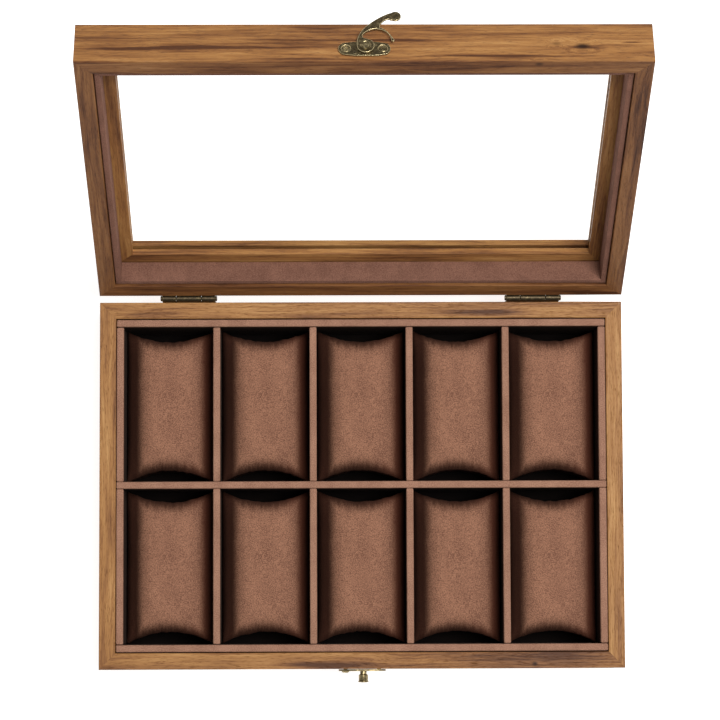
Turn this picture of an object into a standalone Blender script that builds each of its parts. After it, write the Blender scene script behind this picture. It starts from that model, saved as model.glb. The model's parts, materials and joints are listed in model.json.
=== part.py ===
"""Wooden watch box with ten cushioned cells, a glazed lid held open on two brass hinges, and a swing hook.

Metres, +Z up, front at -Y, origin at the centre of the underside. The lid is modelled closed and turned open.
"""

import math

import bmesh
import bpy
from mathutils import Vector

# The box.
WIDTH = 0.290
DEPTH = 0.2027
BASE_HEIGHT = 0.058
BASE_WALL = 0.0090
LID_HEIGHT = 0.0246
LID_WALL = 0.0092
LID_OPEN = math.radians(118.8)
RIM_GAP = 0.0004
GAP = 0.0003
MITRE = GAP / math.sqrt(2)

# Floor, tray and pillows.
RABBET = 0.0042
FLOOR = 0.0040
LINING = 0.0015
TRAY_SLACK = 0.0005
TRAY_WALL = 0.0040
TRAY_RECESS = 0.0006
DIVIDER = 0.0039
COLUMNS = 5
PILLOW_TOP = BASE_HEIGHT - 0.0105
PILLOW_DIP = 0.0064
PILLOW_ROUNDING = 0.50
PILLOW_TAPER = 0.16

# Lid frame, window and lid lining.
LEDGE = 0.0150
WINDOW_INSET = 0.0188
GROOVE_LOW = 0.0186
GROOVE_DEPTH = 0.0060
GLASS = 0.0020
LID_LINER = 0.0030
LID_LINER_RECESS = 0.0015

# Metal sheet, lying GAP off the wood.
SHEET = 0.0009
SHEET_TOP = GAP + SHEET
SHANK = 0.0011
SHANK_HOLE = SHANK + GAP
SCREW_DEPTH = 0.0070
RAISED_HEAD = 0.0020
FLUSH_HEAD = 0.0019

# Hinges.
HINGE_X = 0.0955
HINGE_OUT = 0.00215
BARREL = 0.0019
BARREL_HOLE = 0.0011
PIN = 0.0008
CENTRE_KNUCKLE = 0.0069
BARREL_HALF = 0.0147
LEAF_REACH = 0.0140
LEAF_SCREW_X = 0.0095
LEAF_SCREW_REACH = 0.0085

# Swing hook and its catch.
PIVOT_X = 0.0006
PIVOT_RISE = 0.0087
HOOK_THICK = 0.0010
HOOK_BACK = SHEET_TOP + GAP
PIVOT_SHAFT = 0.0012
HOOK_EYE = 0.0043
HOOK_ARC_CENTRE = (0.0052, 0.0030)
HOOK_ARC = 0.0077
HOOK_TAB_CENTRE = (0.0150, 0.0190)
HOOK_TAB = 0.0029
POST_DROP = 0.0021
POST_NECK = 0.0018
POST_TENON = 0.0007
PLATE_HALF = 0.0130
PLATE_HALF_HEIGHT = 0.0044
PLATE_LOBE = 0.0039
PLATE_SCREW_X = 0.0092
LATCH_PLATE_RISE = 0.0077
CATCH_PLATE_DROP = 0.0047

HINGE_AXIS = Vector((0, DEPTH / 2 + HINGE_OUT, BASE_HEIGHT + RIM_GAP / 2))
LID_RIM = BASE_HEIGHT + RIM_GAP
HOOK_PIVOT = Vector((PIVOT_X, -DEPTH / 2 - HOOK_BACK, LID_RIM + PIVOT_RISE))


def clear_scene():
    for obj in list(bpy.data.objects):
        bpy.data.objects.remove(obj)


def material(name, colour, roughness, metallic=0.0, transmission=0.0):
    """A Principled BSDF material of one colour, given in linear values."""
    made = bpy.data.materials.new(name)
    made.use_nodes = True
    made.diffuse_color = (*colour, 1)
    shader = made.node_tree.nodes["Principled BSDF"]
    shader.inputs["Base Color"].default_value = (*colour, 1)
    shader.inputs["Roughness"].default_value = roughness
    shader.inputs["Metallic"].default_value = metallic
    shader.inputs["Transmission Weight"].default_value = transmission
    return made


def frame(name, origin, parent=None):
    """An empty on a joint's axis. Its children are modelled where they lie with the lid closed."""
    empty = bpy.data.objects.new(name, None)
    bpy.context.collection.objects.link(empty)
    empty["closed_origin"] = origin
    empty.parent = parent
    empty.location = origin - Vector(parent["closed_origin"]) if parent else origin
    return empty


def add_object(name, shape, surface, holder=None, smooth=False):
    """Turns a bmesh into an object, measured from its holder's origin."""
    if holder:
        bmesh.ops.translate(shape, vec=-Vector(holder["closed_origin"]), verts=shape.verts)
    bmesh.ops.recalc_face_normals(shape, faces=shape.faces)
    mesh = bpy.data.meshes.new(name)
    shape.to_mesh(mesh)
    shape.free()
    if surface:
        mesh.materials.append(surface)
    if smooth:
        mesh.shade_smooth()
        mesh.set_sharp_from_angle(angle=math.radians(35))
    made = bpy.data.objects.new(name, mesh)
    bpy.context.collection.objects.link(made)
    made.parent = holder
    return made


def combine(obj, shape, operation):
    """Cuts a shape from an object, or joins it on, by a hidden helper in the same frame."""
    helper = add_object(obj.name + "_helper", shape, None, obj.parent)
    helper.hide_render = True
    helper.display_type = "WIRE"
    change = obj.modifiers.new(operation.title(), "BOOLEAN")
    change.operation = operation
    change.solver = "EXACT"
    change.object = helper


def spot(axis, a, b, along):
    """A point given by two coordinates across an axis, in X, Y, Z order, and one along it."""
    if axis == "X":
        return (along, a, b)
    if axis == "Y":
        return (a, along, b)
    return (a, b, along)


def prism(outline, axis, low, high):
    """An outline extruded along an axis."""
    shape = bmesh.new()
    near = [shape.verts.new(spot(axis, a, b, low)) for a, b in outline]
    far = [shape.verts.new(spot(axis, a, b, high)) for a, b in outline]
    shape.faces.new(near)
    shape.faces.new(far)
    for i in range(len(outline)):
        j = (i + 1) % len(outline)
        shape.faces.new((near[i], near[j], far[j], far[i]))
    return shape


def rectangle(low_a, high_a, low_b, high_b):
    return [(low_a, low_b), (high_a, low_b), (high_a, high_b), (low_a, high_b)]


def turned(profile, axis, centre, closed=False, segments=24):
    """A profile of (radius, distance along the axis) turned round the axis. A closed one makes a tube."""
    shape = bmesh.new()
    rows = []
    for radius, along in profile:
        count = segments if radius > 0 else 1
        angles = [2 * math.pi * i / count for i in range(count)]
        ring = [(centre[0] + radius * math.cos(t), centre[1] + radius * math.sin(t)) for t in angles]
        rows.append([shape.verts.new(spot(axis, a, b, along)) for a, b in ring])
    pairs = list(zip(rows, rows[1:]))
    if closed:
        pairs.append((rows[-1], rows[0]))
    for one, two in pairs:
        for i in range(segments):
            j = (i + 1) % segments
            corners = [one[i % len(one)], one[j % len(one)], two[j % len(two)], two[i % len(two)]]
            shape.faces.new(list(dict.fromkeys(corners)))
    return shape


def peg(radius, low, high, axis, centre, segments=24):
    return turned([(0, low), (radius, low), (radius, high), (0, high)], axis, centre, False, segments)


def arc(centre, radius, start, end, steps):
    """Points along an arc, angles in degrees."""
    points = []
    for i in range(steps + 1):
        angle = math.radians(start + (end - start) * i / steps)
        points.append((centre[0] + radius * math.cos(angle), centre[1] + radius * math.sin(angle)))
    return points


def smooth_run(points, steps=4):
    """A Catmull-Rom curve through the points."""
    run = []
    ends = [points[0], *points, points[-1]]
    for i in range(1, len(ends) - 2):
        p0, p1, p2, p3 = (Vector(p) for p in ends[i - 1 : i + 3])
        for k in range(steps):
            t = k / steps
            bend = (p1 * 2 + (p2 - p0) * t + (p0 * 2 - p1 * 5 + p2 * 4 - p3) * t**2) / 2
            run.append(tuple(bend + (p1 * 3 - p0 - p2 * 3 + p3) * t**3 / 2))
    return [*run, points[-1]]


def mitred_rail(profile, side):
    """One side of a rectangular frame. The profile's points are (distance in from the outside, height)."""
    shape = bmesh.new()
    sign = 1 if side in ("back", "right") else -1
    rings = []
    for end in (-1, 1):
        ring = []
        for inward, height in profile:
            if side in ("front", "back"):
                place = (end * (WIDTH / 2 - inward - MITRE), sign * (DEPTH / 2 - inward), height)
            else:
                place = (sign * (WIDTH / 2 - inward), end * (DEPTH / 2 - inward - MITRE), height)
            ring.append(shape.verts.new(place))
        rings.append(ring)
        shape.faces.new(ring)
    for i in range(len(profile)):
        j = (i + 1) % len(profile)
        shape.faces.new((rings[0][i], rings[0][j], rings[1][j], rings[1][i]))
    return shape


def make_base(wood, board, cloth):
    """Four mitred walls round a rabbeted floor panel, with a cloth-covered card on the floor."""
    profile = [
        (0, 0),
        (BASE_WALL - RABBET, 0),
        (BASE_WALL - RABBET, FLOOR + GAP),
        (BASE_WALL, FLOOR + GAP),
        (BASE_WALL, BASE_HEIGHT),
        (0, BASE_HEIGHT),
    ]
    walls = {}
    for side in ("front", "back", "left", "right"):
        walls[side] = add_object(f"base_{side}_wall", mitred_rail(profile, side), wood)
    across = WIDTH / 2 - BASE_WALL + RABBET - GAP
    along = DEPTH / 2 - BASE_WALL + RABBET - GAP
    add_object("floor_panel", prism(rectangle(-across, across, -along, along), "Z", 0, FLOOR), board)
    across = WIDTH / 2 - BASE_WALL - TRAY_SLACK
    along = DEPTH / 2 - BASE_WALL - TRAY_SLACK
    low = FLOOR + GAP
    sheet = prism(rectangle(-across, across, -along, along), "Z", low, low + LINING)
    add_object("floor_lining", sheet, cloth)
    return walls


def make_tray(cloth, pillow_cloth):
    """The lining walls, the halved dividers and one pillow for each cell."""
    low = FLOOR + LINING + 2 * GAP
    top = BASE_HEIGHT - TRAY_RECESS
    middle = (low + top) / 2
    outer_x = WIDTH / 2 - BASE_WALL - TRAY_SLACK
    outer_y = DEPTH / 2 - BASE_WALL - TRAY_SLACK
    inner_x = outer_x - TRAY_WALL
    inner_y = outer_y - TRAY_WALL
    slot = DIVIDER / 2 + GAP

    for name, sign in (("front", -1), ("back", 1)):
        near, far = sorted((sign * inner_y, sign * outer_y))
        strip = prism(rectangle(-outer_x, outer_x, near, far), "Z", low, top)
        add_object(f"tray_{name}_liner", strip, cloth)

    # The top half is cut away at the middle, so that a slot opens upwards.
    reach = inner_y - GAP
    slotted = [(-reach, low), (reach, low), (reach, top), (slot, top)]
    slotted += [(slot, middle - GAP / 2), (-slot, middle - GAP / 2), (-slot, top), (-reach, top)]
    for name, sign in (("left", -1), ("right", 1)):
        near, far = sorted((sign * inner_x, sign * outer_x))
        add_object(f"tray_{name}_liner", prism(slotted, "X", near, far), cloth)

    pitch = (2 * inner_x + DIVIDER) / COLUMNS
    crossings = [(i - (COLUMNS - 2) / 2) * pitch for i in range(COLUMNS - 1)]
    for number, x in enumerate(crossings, 1):
        board = prism(slotted, "X", x - DIVIDER / 2, x + DIVIDER / 2)
        add_object(f"cross_divider_{number}", board, cloth)

    lower = middle + GAP / 2
    outline = [(-inner_x + GAP, low)]
    for x in crossings:
        outline += [(x - slot, low), (x - slot, lower), (x + slot, lower), (x + slot, low)]
    outline += [(inner_x - GAP, low), (inner_x - GAP, lower), (outer_x, lower), (outer_x, top)]
    outline += [(-outer_x, top), (-outer_x, lower), (-inner_x + GAP, lower)]
    add_object("long_divider", prism(outline, "Y", -DIVIDER / 2, DIVIDER / 2), cloth)

    half_x = (pitch - DIVIDER) / 2 - GAP
    row_y = (inner_y + DIVIDER / 2) / 2
    half_y = (inner_y - DIVIDER / 2) / 2 - GAP
    half_z = (PILLOW_TOP - low) / 2
    for row, sign in (("back", 1), ("front", -1)):
        for column in range(COLUMNS):
            x = (column - (COLUMNS - 1) / 2) * pitch
            name = f"pillow_{row}_{column + 1}"
            pillow = add_object(name, pillow_shape(half_x, half_y, half_z), pillow_cloth, None, True)
            pillow.location = (x, sign * row_y, low + half_z)


def pillow_shape(half_x, half_y, half_z, cuts=7):
    """A stuffed pillow: flat sides that fit the cell, rounded over, with ends that curve in."""
    shape = bmesh.new()
    bmesh.ops.create_cube(shape, size=2)
    bmesh.ops.subdivide_edges(shape, edges=shape.edges, cuts=cuts, use_grid_fill=True)
    for vert in shape.verts:
        a, b, c = vert.co
        across = a * math.sqrt(1 - PILLOW_ROUNDING * c * c)
        up = c * math.sqrt(1 - PILLOW_ROUNDING * a * a)
        up *= 1 - PILLOW_TAPER * b**4
        along = b * (half_y - PILLOW_DIP * (1 - across * across))
        vert.co = (across * half_x, along, up * half_z)
    return shape


def screw(name, x, z, face, outward, raised, surface, holder=None):
    """A wood screw through sheet metal: raised over the sheet, or let into it. Outward is -1 to the front."""
    foot = -SCREW_DEPTH
    if raised:
        head = SHEET_TOP + GAP
        profile = [(0, foot), (SHANK, foot), (SHANK, head), (RAISED_HEAD, head), (RAISED_HEAD, head + 0.0004)]
        profile += [(RAISED_HEAD * 0.6, head + 0.0008), (0, head + 0.0010)]
    else:
        profile = [(0, foot), (SHANK, foot), (SHANK, GAP), (FLUSH_HEAD, GAP)]
        profile += [(FLUSH_HEAD, SHEET_TOP - GAP / 4), (0, SHEET_TOP - GAP / 4)]
    placed = [(radius, face + outward * along) for radius, along in profile]
    add_object(name, turned(placed, "Y", (x, z)), surface, holder, True)


def screw_hole(wall, x, z, face, outward):
    """A blind pilot hole, open past the wood's face."""
    ends = sorted((face - outward * (SCREW_DEPTH + GAP), face + outward * GAP))
    combine(wall, peg(SHANK_HOLE, ends[0], ends[1], "Y", (x, z)), "DIFFERENCE")


def sheet_hole(sheet, x, z, radius, face, outward):
    """A round hole through sheet metal lying on a face."""
    ends = sorted((face, face + outward * (SHEET_TOP + GAP)))
    combine(sheet, peg(radius, ends[0], ends[1], "Y", (x, z)), "DIFFERENCE")


def make_hinge(name, x, back_wall, lid_rail, metal, lid):
    """Two leaves on the outside of the back walls, knuckled round one pin."""
    face = DEPTH / 2
    axis_y = HINGE_AXIS.y
    axis_z = HINGE_AXIS.z
    near = BARREL * 0.4
    clear = BARREL + GAP
    edge = [(BARREL_HALF - GAP, clear), (BARREL_HALF + 0.0005, LEAF_REACH - 0.0020)]
    edge += [(BARREL_HALF - 0.0015, LEAF_REACH)]
    split = CENTRE_KNUCKLE + GAP
    base_edge = [(split + GAP / 2, clear), (split + GAP / 2, near), (BARREL_HALF - GAP, near)]
    lid_edge = [(CENTRE_KNUCKLE - GAP / 2, near), (CENTRE_KNUCKLE - GAP / 2, clear)]
    outer_spans = [(-BARREL_HALF, -split), (split, BARREL_HALF)]
    centre_span = [(-CENTRE_KNUCKLE, CENTRE_KNUCKLE)]
    leaves = (
        ("base", -1, base_edge + edge[1:], outer_spans, back_wall, None),
        ("lid", 1, lid_edge + edge, centre_span, lid_rail, lid),
    )
    for half, up, right, spans, wall, holder in leaves:
        outline = [(x + a, axis_z + up * t) for a, t in right]
        outline += [(x - a, axis_z + up * t) for a, t in reversed(right)]
        plate = prism(outline, "Y", face + GAP, face + SHEET_TOP)
        leaf = add_object(f"{name}_hinge_{half}_leaf", plate, metal, holder, True)
        for low, high in spans:
            ring = [(BARREL_HOLE, x + low), (BARREL, x + low), (BARREL, x + high), (BARREL_HOLE, x + high)]
            combine(leaf, turned(ring, "X", (axis_y, axis_z), True), "UNION")
        for number, offset in enumerate((-LEAF_SCREW_X, LEAF_SCREW_X), 1):
            z = axis_z + up * LEAF_SCREW_REACH
            sheet_hole(leaf, x + offset, z, SHANK_HOLE, face, 1)
            screw_hole(wall, x + offset, z, face, 1)
            screw(f"{name}_hinge_{half}_screw_{number}", x + offset, z, face, 1, True, metal, holder)
    cap = BARREL_HALF + GAP
    end = cap + 0.0008
    pin = [(0, -end), (BARREL * 0.7, -end), (BARREL * 0.85, -cap), (PIN, -cap)]
    pin += [(PIN, cap), (BARREL * 0.85, cap), (BARREL * 0.7, end), (0, end)]
    placed = [(radius, x + along) for radius, along in pin]
    add_object(f"{name}_hinge_pin", turned(placed, "X", (axis_y, axis_z)), metal, None, True)


def make_lid(wood, cloth, glass, lid):
    """Four mitred rails with an inward flange, a pane let into their groove, and cloth-covered strips."""
    lower = GROOVE_LOW
    upper = GROOVE_LOW + GLASS + 2 * GAP
    groove = WINDOW_INSET - GROOVE_DEPTH
    profile = [(0, 0), (LID_WALL, 0), (LID_WALL, LEDGE), (WINDOW_INSET, LEDGE), (WINDOW_INSET, lower)]
    profile += [(groove, lower), (groove, upper), (WINDOW_INSET, upper), (WINDOW_INSET, LID_HEIGHT)]
    profile += [(0, LID_HEIGHT)]
    profile = [(inward, LID_RIM + height) for inward, height in profile]
    near = LID_WALL + GAP
    far = near + LID_LINER
    low = LID_RIM + LID_LINER_RECESS
    high = LID_RIM + LEDGE - GAP
    strip = [(near, low), (far, low), (far, high), (near, high)]
    rails = {}
    for side in ("front", "back", "left", "right"):
        rails[side] = add_object(f"lid_{side}_rail", mitred_rail(profile, side), wood, lid)
        add_object(f"lid_{side}_liner", mitred_rail(strip, side), cloth, lid)
    across = WIDTH / 2 - groove - TRAY_SLACK
    along = DEPTH / 2 - groove - TRAY_SLACK
    low = LID_RIM + GROOVE_LOW + GAP
    pane = prism(rectangle(-across, across, -along, along), "Z", low, low + GLASS)
    add_object("glass_pane", pane, glass, lid)
    return rails


def plate_outline(x, z):
    """A strip with a round lobe at each end."""
    centre = PLATE_HALF - PLATE_LOBE
    neck = math.degrees(math.asin(0.9))
    right = arc((x + centre, z), PLATE_LOBE, -neck, neck, 10)
    left = arc((x - centre, z), PLATE_LOBE, 180 - neck, 180 + neck, 10)
    step = centre - PLATE_LOBE
    top = [(x + step, z + PLATE_HALF_HEIGHT), (x - step, z + PLATE_HALF_HEIGHT)]
    bottom = [(x - step, z - PLATE_HALF_HEIGHT), (x + step, z - PLATE_HALF_HEIGHT)]
    return right + top + left + bottom


def hook_outline():
    """The swing hook seen from the front, about its pivot: eye, arm, thumb tab and C-shaped claw."""
    outer = [(-0.0043, 0.0008), (-0.0042, 0.0032), (-0.0034, 0.0064), (-0.0015, 0.0099)]
    outer += [(0.0014, 0.0134), (0.0048, 0.0164), (0.0085, 0.0190), (0.0117, 0.0207)]
    tab = arc(HOOK_TAB_CENTRE, HOOK_TAB, 135, -125, 14)
    under_tab = [(0.0116, 0.0171), (0.0095, 0.0161), (0.0074, 0.0138)]
    claw = [(0.0072, 0.0117), (0.0095, 0.0103), (0.0120, 0.0074), (0.0137, 0.0047), (0.0144, 0.0032)]
    tip = [(0.0139, 0.0026)]
    inside = arc(HOOK_ARC_CENTRE, HOOK_ARC, 0, 154, 16)
    fillet = [(-0.0010, 0.0049)]
    eye = arc((0, 0), HOOK_EYE, 75, -180, 18)
    return smooth_run(outer) + tab + under_tab + smooth_run(claw, 3) + tip + inside + fillet + eye


def make_latch(base_front, lid_front, metal, lid):
    """A swing hook riveted to a plate on the lid, and a waisted post on a plate on the base."""
    face = -DEPTH / 2
    plate_z = LID_RIM + LATCH_PLATE_RISE
    pivot = (HOOK_PIVOT.x, HOOK_PIVOT.z)
    plate = prism(plate_outline(0, plate_z), "Y", face - SHEET_TOP, face - GAP)
    plate = add_object("latch_plate", plate, metal, lid, True)
    sheet_hole(plate, *pivot, PIVOT_SHAFT + GAP, face, -1)
    for number, x in enumerate((-PLATE_SCREW_X, PLATE_SCREW_X), 1):
        sheet_hole(plate, x, plate_z, FLUSH_HEAD + GAP, face, -1)
        screw_hole(lid_front, x, plate_z, face, -1)
        screw(f"latch_screw_{number}", x, plate_z, face, -1, False, metal, lid)

    hook_frame = frame("hook_pivot", HOOK_PIVOT, lid)
    outline = [(pivot[0] + a, pivot[1] + b) for a, b in hook_outline()]
    shape = prism(outline, "Y", HOOK_PIVOT.y - HOOK_THICK, HOOK_PIVOT.y)
    hook = add_object("swing_hook", shape, metal, hook_frame, True)
    clear = (HOOK_PIVOT.y - HOOK_THICK - GAP, HOOK_PIVOT.y + GAP)
    combine(hook, peg(PIVOT_SHAFT + GAP, *clear, "Y", pivot), "DIFFERENCE")

    under_head = HOOK_BACK + HOOK_THICK + GAP
    rivet = [(0, GAP * 1.2), (PIVOT_SHAFT, GAP * 1.2), (PIVOT_SHAFT, under_head), (0.0026, under_head)]
    rivet += [(0.0026, under_head + 0.0005), (0.0017, under_head + 0.0010), (0, under_head + 0.0011)]
    placed = [(radius, face - along) for radius, along in rivet]
    add_object("hook_rivet", turned(placed, "Y", pivot), metal, lid, True)

    plate_z = BASE_HEIGHT - CATCH_PLATE_DROP
    post_z = BASE_HEIGHT - POST_DROP
    plate = prism(plate_outline(0, plate_z), "Y", face - SHEET_TOP, face - GAP)
    plate = add_object("catch_plate", plate, metal, None, True)
    sheet_hole(plate, PIVOT_X, post_z, POST_TENON + GAP, face, -1)
    # The left screw stands proud of the plate. The right one is flush, because the hook passes over it.
    for number, (x, raised) in enumerate(((-PLATE_SCREW_X, True), (PLATE_SCREW_X, False)), 1):
        sheet_hole(plate, x, plate_z, SHANK_HOLE if raised else FLUSH_HEAD + GAP, face, -1)
        screw_hole(base_front, x, plate_z, face, -1)
        screw(f"catch_screw_{number}", x, plate_z, face, -1, raised, metal)

    post = [(0, GAP * 1.2), (POST_TENON, GAP * 1.2), (POST_TENON, HOOK_BACK), (POST_NECK, HOOK_BACK)]
    post += [(POST_NECK, under_head), (0.0026, under_head + 0.0006), (0.0026, 0.0062)]
    post += [(0.0029, 0.0066), (0.0029, 0.0070), (0.0021, 0.0074), (0, 0.0075)]
    placed = [(radius, face - along) for radius, along in post]
    add_object("catch_post", turned(placed, "Y", (PIVOT_X, post_z)), metal, None, True)


clear_scene()
wood = material("oiled_walnut", (0.36, 0.18, 0.08), 0.45)
board = material("plywood", (0.42, 0.27, 0.14), 0.6)
lining_cloth = material("brown_suede_cloth", (0.28, 0.14, 0.10), 0.9)
pillow_cloth = material("brown_velvet", (0.22, 0.10, 0.07), 0.85)
glass = material("clear_glass", (0.95, 0.97, 0.96), 0.03, 0.0, 1.0)
brass = material("antique_brass", (0.17, 0.14, 0.08), 0.35, 1.0)

lid = frame("lid_hinge_axis", HINGE_AXIS)
base_walls = make_base(wood, board, lining_cloth)
make_tray(lining_cloth, pillow_cloth)
lid_rails = make_lid(wood, lining_cloth, glass, lid)
for side, x in (("left", -HINGE_X), ("right", HINGE_X)):
    make_hinge(side, x, base_walls["back"], lid_rails["back"], brass, lid)
make_latch(base_walls["front"], lid_rails["front"], brass, lid)
lid.rotation_euler.x = -LID_OPEN
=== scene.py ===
"""The looks of a glazed wooden watch box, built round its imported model."""

import json
import math

import bmesh
import bpy
from mathutils import Matrix, Vector, noise


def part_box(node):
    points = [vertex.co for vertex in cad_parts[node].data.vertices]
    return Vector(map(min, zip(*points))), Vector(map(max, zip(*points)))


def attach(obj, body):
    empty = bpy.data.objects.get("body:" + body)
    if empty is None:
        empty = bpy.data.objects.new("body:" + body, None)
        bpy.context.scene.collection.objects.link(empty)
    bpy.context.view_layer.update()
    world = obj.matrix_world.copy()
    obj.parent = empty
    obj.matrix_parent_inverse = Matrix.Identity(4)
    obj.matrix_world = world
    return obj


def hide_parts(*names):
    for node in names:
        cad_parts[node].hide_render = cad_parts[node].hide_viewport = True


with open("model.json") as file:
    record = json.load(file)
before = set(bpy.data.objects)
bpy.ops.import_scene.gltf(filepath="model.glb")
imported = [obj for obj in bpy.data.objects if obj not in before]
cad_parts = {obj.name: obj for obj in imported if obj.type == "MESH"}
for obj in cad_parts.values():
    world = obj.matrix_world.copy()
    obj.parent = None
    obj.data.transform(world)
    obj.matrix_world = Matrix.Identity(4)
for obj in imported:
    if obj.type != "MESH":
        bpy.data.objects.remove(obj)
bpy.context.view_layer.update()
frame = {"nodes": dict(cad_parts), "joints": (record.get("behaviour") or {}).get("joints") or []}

# Base walls. Four boards of oiled walnut stand on edge and are glued at mitred corners. Their grain runs
# along each board, and every edge is broken with fine sandpaper. Each board is cut from different wood.
front_low, front_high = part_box("base_front_wall")
WIDTH = front_high.x - front_low.x
DEPTH = -2 * front_low.y
BASE_HEIGHT = front_high.z
BASE_WALL = front_high.y - front_low.y
BROKEN_EDGE = 0.0004
MITRE_LINE = 0.00002
SHARP = math.radians(40)

SIDES = {
    "front": (WIDTH, Matrix.Translation((0, -DEPTH / 2, 0))),
    "right": (DEPTH, Matrix.Translation((WIDTH / 2, 0, 0)) @ Matrix.Rotation(math.radians(90), 4, "Z")),
    "back": (WIDTH, Matrix.Translation((0, DEPTH / 2, 0)) @ Matrix.Rotation(math.radians(180), 4, "Z")),
    "left": (DEPTH, Matrix.Translation((-WIDTH / 2, 0, 0)) @ Matrix.Rotation(math.radians(-90), 4, "Z")),
}


class Socket:
    """One output of a finish's nodes. Arithmetic on it adds Math nodes."""

    def __init__(self, finish, link):
        self.finish = finish
        self.link = link

    def maths(self, operation, *others):
        return self.finish.node("Math", {"operation": operation}, dict(enumerate((self, *others))))

    def __add__(self, other):
        return self.maths("ADD", other)

    def __sub__(self, other):
        return self.maths("SUBTRACT", other)

    def __mul__(self, other):
        return self.maths("MULTIPLY", other)

    def __truediv__(self, other):
        return self.maths("DIVIDE", other)

    def __pow__(self, other):
        return self.maths("POWER", other)

    def __rsub__(self, other):
        return (self * -1) + other

    __radd__ = __add__
    __rmul__ = __mul__


class Finish:
    """A material whose Principled shader is fed by the nodes that its methods add."""

    def __init__(self, name, roughness, metallic=0.0, **uniform):
        self.material = bpy.data.materials.new(name)
        self.material.use_nodes = True
        self.tree = self.material.node_tree
        self.shader = self.tree.nodes["Principled BSDF"]
        self.shader.inputs["Roughness"].default_value = roughness
        self.shader.inputs["Metallic"].default_value = metallic
        for words, value in uniform.items():
            self.shader.inputs[words.replace("_", " ").title().replace("Ior", "IOR")].default_value = value

    def node(self, kind, settings=None, inputs=None, output=0):
        made = self.tree.nodes.new("ShaderNode" + kind)
        for key, value in (settings or {}).items():
            if key == "stops":
                ramp = made.color_ramp.elements
                while len(ramp) < len(value):
                    ramp.new(1)
                for stop, (place, colour) in zip(ramp, value):
                    stop.position = place
                    stop.color = (*colour, 1)
            else:
                setattr(made, key, value)
        for key, value in (inputs or {}).items():
            if isinstance(value, Socket):
                self.tree.links.new(value.link, made.inputs[key])
            else:
                made.inputs[key].default_value = value
        return Socket(self, made.outputs[output])

    def place(self, stretch=(1, 1, 1), shift=(0, 0, 0)):
        """The piece's own coordinates in millimetres, divided by stretch and then shifted."""
        scale = [1000 / s for s in stretch]
        coords = self.node("TexCoord", output="Object")
        return self.node("Mapping", None, {"Vector": coords, "Scale": scale, "Location": shift})

    def noise(self, vector, scale, detail=2.0, roughness=0.5, distortion=0.0):
        inputs = {"Vector": vector, "Scale": scale, "Detail": detail}
        return self.node("TexNoise", None, {**inputs, "Roughness": roughness, "Distortion": distortion})

    def ramp(self, value, *stops):
        return self.node("ValToRGB", {"stops": stops}, {0: value})

    def between(self, value, low, high):
        """0 below low, 1 above high, smooth between."""
        inputs = {"Value": value, "From Min": low, "From Max": high}
        return self.node("MapRange", {"interpolation_type": "SMOOTHSTEP"}, inputs)

    def blend(self, factor, one, two, kind="MIX"):
        """Mixes two colours, each a socket or plain red, green and blue."""
        one, two = (end if isinstance(end, Socket) else (*end, 1) for end in (one, two))
        ends = {0: factor, 6: one, 7: two}
        return self.node("Mix", {"data_type": "RGBA", "blend_type": kind}, ends, 2)

    def wear(self, colour=None, roughness=None, height=None, depth=0.0002):
        """Feeds the shader, with the height as a bump of that depth in metres."""
        if colour:
            self.tree.links.new(colour.link, self.shader.inputs["Base Color"])
        if roughness:
            self.tree.links.new(roughness.link, self.shader.inputs["Roughness"])
        if height:
            bump = self.node("Bump", None, {"Height": height, "Distance": depth})
            self.tree.links.new(bump.link, self.shader.inputs["Normal"])
        return self.material


def srgb(red, green, blue):
    """A linear colour from a display colour of 0 to 255."""
    return tuple(((c / 255 + 0.055) / 1.055) ** 2.4 if c > 10 else c / 3295 for c in (red, green, blue))


PALE_WOOD = srgb(188, 141, 88)
MID_WOOD = srgb(162, 114, 66)
BROWN_WOOD = srgb(132, 88, 52)
DARK_WOOD = srgb(86, 53, 33)
KNOT_WOOD = srgb(44, 25, 15)
# Painted shade: the multiplier that darkens the lid's rim faces and the start of its inner walls.
PAINTED_RIM_SHADE = (0.60, 0.54, 0.54)
GRAIN_WANDER = 5.0
BAND_SIZE = (90, 6.2)
LINE_SIZE = (45, 1.35)
FIBRE_SIZE = (5, 0.23)
GRAIN_DEPTH = 0.00012


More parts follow.
